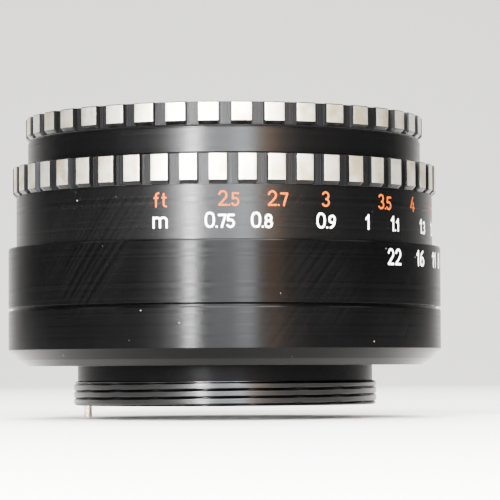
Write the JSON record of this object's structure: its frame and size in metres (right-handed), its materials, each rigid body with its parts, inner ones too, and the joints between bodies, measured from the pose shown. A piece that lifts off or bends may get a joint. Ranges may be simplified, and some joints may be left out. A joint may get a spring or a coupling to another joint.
{
  "type": "prime camera lens",
  "caption": "Manual-focus prime lens with a screw mount, ribbed aperture and focusing rings, a distance scale and an automatic aperture pin.",
  "frame": {"origin": "centre of the mount flange's seating face, on the optical axis", "axes": "+Z along the optical axis towards the front of the lens, +X towards the index line, which is uppermost on a camera"},
  "size_m": [0.06, 0.06, 0.0414],
  "materials": {
    "mount_black": "satin black anodised",
    "barrel_black": "gloss black lacquer over fine turning lines",
    "ring_aluminium": "black anodised with bright-cut grip lands",
    "front_black": "matt black anodised",
    "inner_black": "matt black anodised",
    "inner_alloy": "machined",
    "helicoid_brass": "machined, greased",
    "screw_steel": "turned, slotted",
    "bright_steel": "stamped",
    "pin_steel": "polished",
    "spring_steel": "drawn wire",
    "blade_steel": "blued, thin",
    "coated_glass": "single-layer coated"
  },
  "bodies": {
    "barrel": {"mount_ring": "mount_black", "mount_screws": "screw_steel", "rear_barrel": "barrel_black", "scale_barrel": "barrel_black", "barrel_screws": "screw_steel", "helicoid_outer": "helicoid_brass", "helicoid_screws": "screw_steel", "focus_stop_posts": "screw_steel", "guide_keys": "helicoid_brass", "guide_key_screws": "screw_steel", "rear_plate": "inner_black", "rear_plate_screws": "screw_steel", "lever_bracket": "bright_steel", "lever_pivot": "bright_steel", "lever_spring": "spring_steel"},
    "aperture_pin": {"aperture_pin": "pin_steel"},
    "aperture_lever": {"aperture_lever": "bright_steel"},
    "optical_block": {"carrier": "inner_alloy", "helicoid_retainer": "inner_alloy", "front_cell": "inner_black", "lens_spacer": "inner_black", "front_retainer": "inner_black", "front_element": "coated_glass", "middle_element": "coated_glass", "rear_element": "coated_glass", "rear_cell": "inner_black", "rear_retainer": "inner_black", "iris_housing": "inner_alloy", "iris_cover": "inner_black", "iris_screws": "screw_steel", "iris_spring": "spring_steel", "filter_ring": "front_black", "filter_ring_screws": "screw_steel", "detent_ball": "bright_steel", "detent_spring": "spring_steel", "front_cone": "front_black", "name_ring": "front_black"},
    "iris_drive": {"iris_drive_ring": "bright_steel"},
    "focus_ring": {"focus_ring": "ring_aluminium", "helicoid_inner": "inner_alloy", "focus_screws": "screw_steel", "focus_stop_screw": "screw_steel"},
    "aperture_ring": {"aperture_ring": "ring_aluminium"},
    "iris_blade_1": {"iris_blade_1": "blade_steel"},
    "iris_blade_2": {"iris_blade_2": "blade_steel"},
    "iris_blade_3": {"iris_blade_3": "blade_steel"},
    "iris_blade_4": {"iris_blade_4": "blade_steel"},
    "iris_blade_5": {"iris_blade_5": "blade_steel"},
    "iris_blade_6": {"iris_blade_6": "blade_steel"}
  },
  "joints": [
    {"name": "focus_travel", "type": "slide", "parent": "barrel", "child": "optical_block", "axis": [0, 0, 1], "range_m": [-0.0014, 0.00246]},
    {"name": "focus_turn", "type": "hinge", "parent": "optical_block", "child": "focus_ring", "pos_m": [0, 0, 0.02], "axis": [0, 0, 1], "range_deg": [-54.9, 96]},
    {"name": "aperture_turn", "type": "hinge", "parent": "optical_block", "child": "aperture_ring", "pos_m": [0, 0, 0.031], "axis": [0, 0, -1], "range_deg": [0, 66]},
    {"name": "iris_drive_turn", "type": "hinge", "parent": "optical_block", "child": "iris_drive", "pos_m": [0, 0, 0.0037], "axis": [0, 0, -1], "range_deg": [0, 6.12], "deforming": ["iris_spring"]},
    {"name": "pin_travel", "type": "slide", "parent": "barrel", "child": "aperture_pin", "axis": [0, 0, 1], "range_m": [0, 0.0018], "stiffness_N_per_m": 150, "springref_m": -0.002},
    {"name": "lever_turn", "type": "hinge", "parent": "barrel", "child": "aperture_lever", "pos_m": [-0.018, 0.003, -0.0016], "axis": [-1, 0, 0], "range_deg": [0, 37]},
    {"name": "blade_1_swing", "type": "hinge", "parent": "optical_block", "child": "iris_blade_1", "pos_m": [0.0115, 0, 0.0027], "axis": [0, 0, -1], "range_deg": [0, 35.45]},
    {"name": "blade_2_swing", "type": "hinge", "parent": "optical_block", "child": "iris_blade_2", "pos_m": [0.00575, 0.00996, 0.0027], "axis": [0, 0, -1], "range_deg": [0, 35.45]},
    {"name": "blade_3_swing", "type": "hinge", "parent": "optical_block", "child": "iris_blade_3", "pos_m": [-0.00575, 0.00996, 0.0027], "axis": [0, 0, -1], "range_deg": [0, 35.45]},
    {"name": "blade_4_swing", "type": "hinge", "parent": "optical_block", "child": "iris_blade_4", "pos_m": [-0.0115, 0, 0.0027], "axis": [0, 0, -1], "range_deg": [0, 35.45]},
    {"name": "blade_5_swing", "type": "hinge", "parent": "optical_block", "child": "iris_blade_5", "pos_m": [-0.00575, -0.00996, 0.0027], "axis": [0, 0, -1], "range_deg": [0, 35.45]},
    {"name": "blade_6_swing", "type": "hinge", "parent": "optical_block", "child": "iris_blade_6", "pos_m": [0.00575, -0.00996, 0.0027], "axis": [0, 0, -1], "range_deg": [0, 35.45]}
  ],
  "couplings": [
    {"joint": "focus_turn", "follows": "focus_travel", "rad_per_m": 681.96},
    {"joint": "iris_drive_turn", "follows": "pin_travel", "rad_per_m": 59.147},
    {"joint": "lever_turn", "follows": "pin_travel", "rad_per_m": 357.5},
    {"joint": "blade_1_swing", "follows": "pin_travel", "rad_per_m": 343.25},
    {"joint": "blade_2_swing", "follows": "pin_travel", "rad_per_m": 343.25},
    {"joint": "blade_3_swing", "follows": "pin_travel", "rad_per_m": 343.25},
    {"joint": "blade_4_swing", "follows": "pin_travel", "rad_per_m": 343.25},
    {"joint": "blade_5_swing", "follows": "pin_travel", "rad_per_m": 343.25},
    {"joint": "blade_6_swing", "follows": "pin_travel", "rad_per_m": 343.25}
  ]
}
